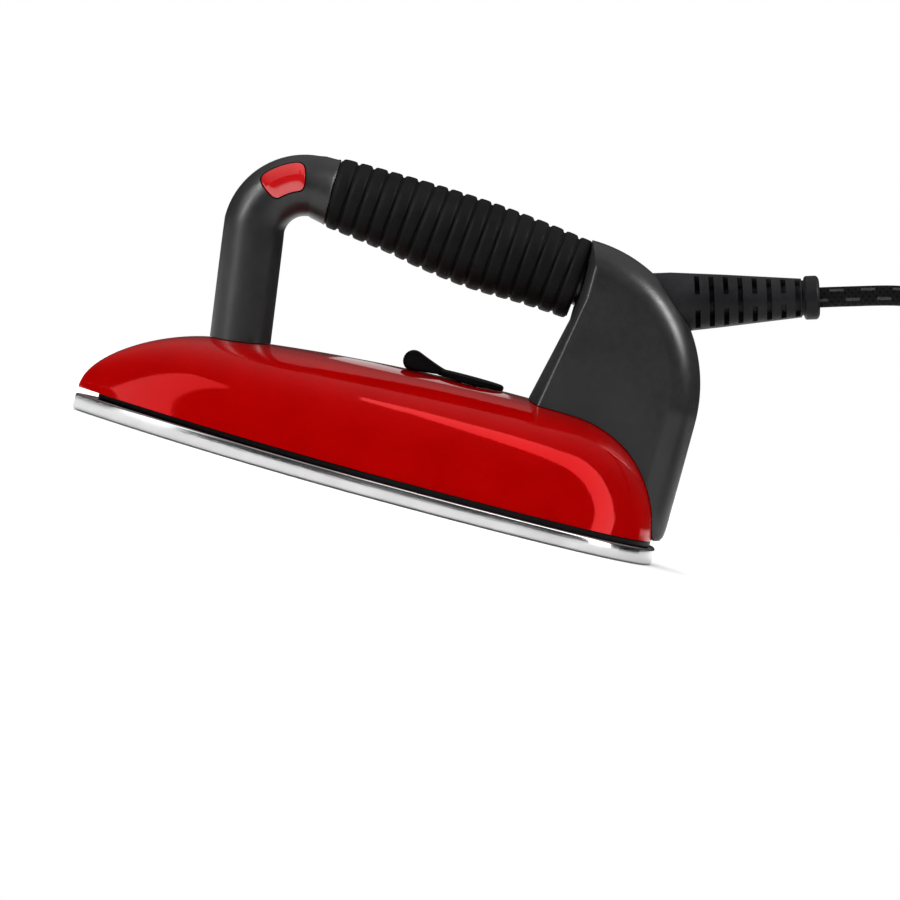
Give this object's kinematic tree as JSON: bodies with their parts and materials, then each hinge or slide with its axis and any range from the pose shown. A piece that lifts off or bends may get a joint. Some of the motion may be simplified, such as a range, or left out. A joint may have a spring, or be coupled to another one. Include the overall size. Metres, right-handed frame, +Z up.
{
  "type": "clothes iron",
  "caption": "Electric dry iron with a polished sole, domed red cover, ribbed open handle, temperature lever, pilot lamp and coiled mains lead with plug",
  "frame": {"origin": "on the table under the middle of the iron, midway between nose and heel and left and right, at the sole's lower face", "axes": "+X from the nose to the heel, +Y to the user's right, +Z up"},
  "size_m": [0.52, 0.1155, 0.1262],
  "materials": {
    "polished_sole": "mirror-like polished plate, faintly brushed along its edge",
    "zinc_steel": "plain zinc-plated steel",
    "nickel_pins": "nickel-plated pins",
    "brass": "plain rolled brass",
    "red_cover": "deep red gloss enamel on pressed metal",
    "black_phenolic": "black phenolic with a satin surface",
    "grey_handle": "dark grey semi-gloss moulding",
    "grip_rubber": "black ribbed rubber",
    "relief_rubber": "black flexible rubber",
    "cord_braid": "black textile braid with pale grey flecks",
    "tie_plastic": "black strap",
    "ceramic": "unglazed cream ceramic",
    "wire_brown": "brown insulation",
    "wire_blue": "blue insulation",
    "wire_green": "green insulation with a yellow stripe",
    "wire_white": "white insulation",
    "red_lens": "clear red moulding",
    "lamp_glass": "clear glass lamp"
  },
  "bodies": {
    "iron": {"soleplate": "polished_sole", "heating_element": "zinc_steel", "heater_terminal_left": "zinc_steel", "heater_terminal_right": "zinc_steel", "heat_shield_skirt": "black_phenolic", "heat_baffle": "zinc_steel", "cover_shell": "red_cover", "nose_clip": "zinc_steel", "nose_clip_screw": "zinc_steel", "handle_tube": "grey_handle", "grip_sleeve": "grip_rubber", "handle_insert": "brass", "front_handle_screw": "zinc_steel", "rear_housing_left": "grey_handle", "rear_housing_right": "grey_handle", "housing_screw_upper": "zinc_steel", "housing_screw_lower": "zinc_steel", "rear_stud_left": "zinc_steel", "rear_spacer_left": "zinc_steel", "rear_nut_left": "zinc_steel", "rear_stud_right": "zinc_steel", "rear_spacer_right": "zinc_steel", "rear_nut_right": "zinc_steel", "strain_relief": "relief_rubber", "cord_inner_end": "cord_braid", "cord_clamp": "black_phenolic", "cord_clamp_screw_left": "zinc_steel", "cord_clamp_screw_right": "zinc_steel", "terminal_block": "ceramic", "cord_core_live": "wire_brown", "cord_core_earth": "wire_green", "cord_core_neutral": "wire_blue", "lead_live": "wire_brown", "lead_neutral": "wire_blue", "lead_earth": "wire_green", "thermal_fuse": "ceramic", "pilot_lamp_lens": "red_lens", "neon_lamp": "lamp_glass", "lamp_lead": "wire_white", "spindle_bush": "brass", "thermostat_frame": "zinc_steel", "stack_spacer_lower": "ceramic", "stack_spacer_upper": "ceramic", "stack_spacer_top": "ceramic", "stack_screw": "zinc_steel", "power_cord": "cord_braid", "cord_coil": "cord_braid", "cord_tie": "tie_plastic", "cord_tail": "cord_braid", "plug_body": "relief_rubber", "plug_pin_1": "nickel_pins", "plug_pin_2": "nickel_pins"},
    "lever": {"temperature_lever": "black_phenolic", "lever_spindle": "zinc_steel", "cam_hub": "ceramic"},
    "pin": {"push_pin": "ceramic"},
    "upper_leaf": {"upper_contact_leaf": "brass"},
    "bimetal": {"bimetal_strip": "brass", "transfer_pin": "ceramic"},
    "lower_leaf": {"lower_contact_leaf": "brass"}
  },
  "joints": [
    {"name": "lever_turn", "type": "hinge", "parent": "iron", "child": "lever", "pos_m": [0.02803, 0, 0.048], "axis": [0, 0, 1], "range_deg": [-45, 45]},
    {"name": "push_pin_slide", "type": "slide", "parent": "iron", "child": "pin", "axis": [0, 0, 1], "range_m": [-0.00062, 0.00062]},
    {"name": "upper_leaf_bend", "type": "hinge", "parent": "iron", "child": "upper_leaf", "pos_m": [0.0437, 0, 0.0211], "axis": [0, 1, 0], "range_deg": [-1.75, 1.75]},
    {"name": "bimetal_bend", "type": "hinge", "parent": "iron", "child": "bimetal", "pos_m": [0.0437, 0, 0.0117], "axis": [0, 1, 0], "range_deg": [-1.5, 0], "stiffness_Nm_per_rad": 0.2},
    {"name": "lower_leaf_bend", "type": "hinge", "parent": "iron", "child": "lower_leaf", "pos_m": [0.0437, 0, 0.0159], "axis": [0, 1, 0], "range_deg": [-1.55, 0.05]}
  ],
  "couplings": [
    {"joint": "push_pin_slide", "follows": "lever_turn", "m_per_rad": 0.000764},
    {"joint": "upper_leaf_bend", "follows": "lever_turn", "ratio": 0.0369},
    {"joint": "lower_leaf_bend", "follows": "bimetal_bend", "ratio": 1}
  ]
}
